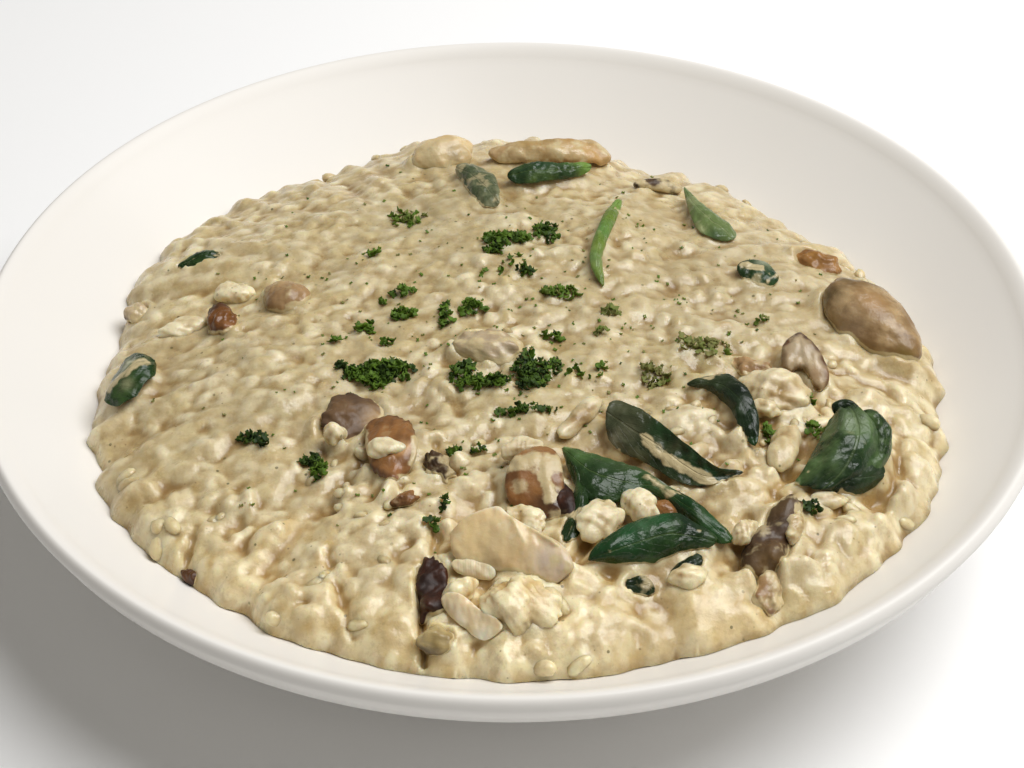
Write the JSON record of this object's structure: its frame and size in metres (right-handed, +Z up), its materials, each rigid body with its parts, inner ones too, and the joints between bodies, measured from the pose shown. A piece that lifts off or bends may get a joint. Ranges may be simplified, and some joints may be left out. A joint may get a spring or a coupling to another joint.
{
  "type": "mushroom risotto in a bowl",
  "caption": "Creamy mushroom risotto heaped in a wide round white bowl, with mushroom pieces, spinach leaves and chopped parsley on top.",
  "frame": {"origin": "on the table plane, under the centre of the bowl's foot ring", "axes": "+Z up; -Y is the side the dish is served from, where the large spinach leaves lie; +X is to the right seen from there"},
  "size_m": [0.24, 0.24, 0.0484],
  "materials": {
    "white_glaze": "smooth white gloss glaze",
    "creamy_rice": "moist cooked rice in cream sauce, satin to glossy",
    "brown_mushroom": "cooked brown mushroom skin, moist",
    "pale_mushroom": "cooked pale mushroom flesh, satin",
    "spinach_leaf": "wilted dark green leaf, glossy with sauce",
    "parsley_leaf": "chopped green herb"
  },
  "bodies": {
    "root": {"bowl": "white_glaze", "risotto": "creamy_rice", "mushroom_right_whole": "brown_mushroom", "mushroom_back_cap": "pale_mushroom", "mushroom_right_back": "brown_mushroom", "mushroom_centre_cap": "pale_mushroom", "mushroom_left_cap": "pale_mushroom", "mushroom_left_bit": "brown_mushroom", "mushroom_front_cap": "brown_mushroom", "mushroom_middle_chunk": "brown_mushroom", "mushroom_gap_chunk": "brown_mushroom", "mushroom_front_bit": "brown_mushroom", "mushroom_right_chunk": "brown_mushroom", "mushroom_back_slice": "brown_mushroom", "mushroom_back_sliver": "brown_mushroom", "mushroom_right_slice": "pale_mushroom", "mushroom_brown_stem": "brown_mushroom", "mushroom_front_slice": "pale_mushroom", "mushroom_pale_strip": "pale_mushroom", "mushroom_pale_slice": "pale_mushroom", "spinach_left_roll": "spinach_leaf", "spinach_back_left": "spinach_leaf", "spinach_back_grey": "spinach_leaf", "spinach_back_dark": "spinach_leaf", "spinach_stem": "spinach_leaf", "spinach_pointed": "spinach_leaf", "spinach_small": "spinach_leaf", "spinach_big": "spinach_leaf", "spinach_arched": "spinach_leaf", "spinach_fork": "spinach_leaf", "spinach_fork_branch": "spinach_leaf", "spinach_low": "spinach_leaf", "spinach_under": "spinach_leaf", "spinach_right_fold": "spinach_leaf"}
  },
  "joints": []
}
